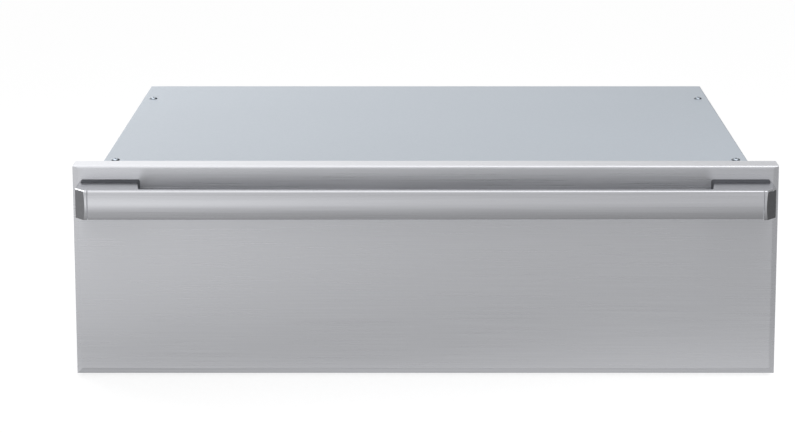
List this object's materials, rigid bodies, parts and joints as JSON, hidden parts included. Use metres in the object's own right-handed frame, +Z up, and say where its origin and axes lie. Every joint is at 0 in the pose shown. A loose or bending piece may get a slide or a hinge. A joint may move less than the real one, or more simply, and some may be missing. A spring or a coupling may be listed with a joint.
{
  "type": "built-in warming drawer",
  "caption": "Built-in warming drawer: full-width brushed steel front with a bar handle, heated and insulated case, deep pan on telescopic ball slides, hidden touch controls.",
  "frame": {"origin": "bottom centre of the closed drawer's bounding box, handle included, on the plane of the base runners", "axes": "+X to the right seen from the front, +Y from the front to the rear, +Z up"},
  "size_m": [0.759, 0.65, 0.233],
  "materials": {
    "front_steel": "fine horizontal brushing",
    "handle_steel": "fine horizontal brushing",
    "case_steel": "satin coated sheet",
    "zinc_steel": "bright zinc-plated sheet",
    "liner_steel": "plain rolled stainless sheet",
    "ball_steel": "polished",
    "heater_sheath": "heat-tinted sheath",
    "mineral_wool": "pressed fibre board",
    "silicone": "matte",
    "black_plastic": "fine grain",
    "dark_glass": "polished",
    "circuit_board": "solder-masked board",
    "screw_steel": "zinc-plated"
  },
  "bodies": {
    "case": {"base_pan": "zinc_steel", "side_panel_left": "case_steel", "side_panel_right": "case_steel", "rear_panel": "zinc_steel", "top_cover": "case_steel", "top_cover_screws": "screw_steel", "rear_screws": "screw_steel", "front_frame": "liner_steel", "frame_gasket": "silicone", "liner_shell": "liner_steel", "liner_floor": "liner_steel", "liner_rear": "liner_steel", "insulation_top": "mineral_wool", "insulation_bottom": "mineral_wool", "insulation_rear": "mineral_wool", "insulation_side_left": "mineral_wool", "insulation_side_right": "mineral_wool", "rear_heat_shield": "zinc_steel", "heating_element": "heater_sheath", "element_brackets": "zinc_steel", "heat_diffuser": "liner_steel", "temperature_sensor": "liner_steel", "thermal_cutout": "black_plastic", "cord_gland": "black_plastic", "terminal_block": "black_plastic", "power_board": "circuit_board", "board_spacers": "black_plastic", "slide_outer_left": "zinc_steel", "slide_outer_right": "zinc_steel"},
    "drawer": {"slide_inner_left": "zinc_steel", "slide_inner_right": "zinc_steel", "drawer_rail_left": "zinc_steel", "drawer_rail_right": "zinc_steel", "drawer_rear_brace": "zinc_steel", "drawer_pan": "liner_steel", "rail_screws": "screw_steel", "front_skin": "front_steel", "front_backplate": "liner_steel", "front_insulation": "mineral_wool", "closing_bumpers": "silicone", "handle_bar": "handle_steel", "handle_post_left": "handle_steel", "handle_post_right": "handle_steel", "handle_end_left": "handle_steel", "handle_end_right": "handle_steel", "handle_gasket_left": "silicone", "handle_gasket_right": "silicone", "handle_screws": "screw_steel", "control_housing": "black_plastic", "control_glass": "dark_glass", "control_board": "circuit_board", "vent_frame": "liner_steel"},
    "vent_shutter": {"vent_slider": "liner_steel"},
    "middle_member_left": {"slide_middle_left": "zinc_steel"},
    "outer_balls_left": {"ball_cage_outer_left": "ball_steel"},
    "inner_balls_left": {"ball_cage_inner_left": "ball_steel"},
    "middle_member_right": {"slide_middle_right": "zinc_steel"},
    "outer_balls_right": {"ball_cage_outer_right": "ball_steel"},
    "inner_balls_right": {"ball_cage_inner_right": "ball_steel"}
  },
  "joints": [
    {"name": "drawer_slide", "type": "slide", "parent": "case", "child": "drawer", "axis": [0, -1, 0], "range_m": [0, 0.46]},
    {"name": "vent_slide", "type": "slide", "parent": "drawer", "child": "vent_shutter", "axis": [1, 0, 0], "range_m": [0, 0.009]},
    {"name": "middle_member_left_slide", "type": "slide", "parent": "case", "child": "middle_member_left", "axis": [0, -1, 0], "range_m": [0, 0.23]},
    {"name": "outer_balls_left_slide", "type": "slide", "parent": "case", "child": "outer_balls_left", "axis": [0, -1, 0], "range_m": [0, 0.115]},
    {"name": "inner_balls_left_slide", "type": "slide", "parent": "case", "child": "inner_balls_left", "axis": [0, -1, 0], "range_m": [0, 0.345]},
    {"name": "middle_member_right_slide", "type": "slide", "parent": "case", "child": "middle_member_right", "axis": [0, -1, 0], "range_m": [0, 0.23]},
    {"name": "outer_balls_right_slide", "type": "slide", "parent": "case", "child": "outer_balls_right", "axis": [0, -1, 0], "range_m": [0, 0.115]},
    {"name": "inner_balls_right_slide", "type": "slide", "parent": "case", "child": "inner_balls_right", "axis": [0, -1, 0], "range_m": [0, 0.345]}
  ],
  "couplings": [
    {"joint": "middle_member_left_slide", "follows": "drawer_slide", "ratio": 0.5},
    {"joint": "outer_balls_left_slide", "follows": "drawer_slide", "ratio": 0.25},
    {"joint": "inner_balls_left_slide", "follows": "drawer_slide", "ratio": 0.75},
    {"joint": "middle_member_right_slide", "follows": "drawer_slide", "ratio": 0.5},
    {"joint": "outer_balls_right_slide", "follows": "drawer_slide", "ratio": 0.25},
    {"joint": "inner_balls_right_slide", "follows": "drawer_slide", "ratio": 0.75}
  ]
}
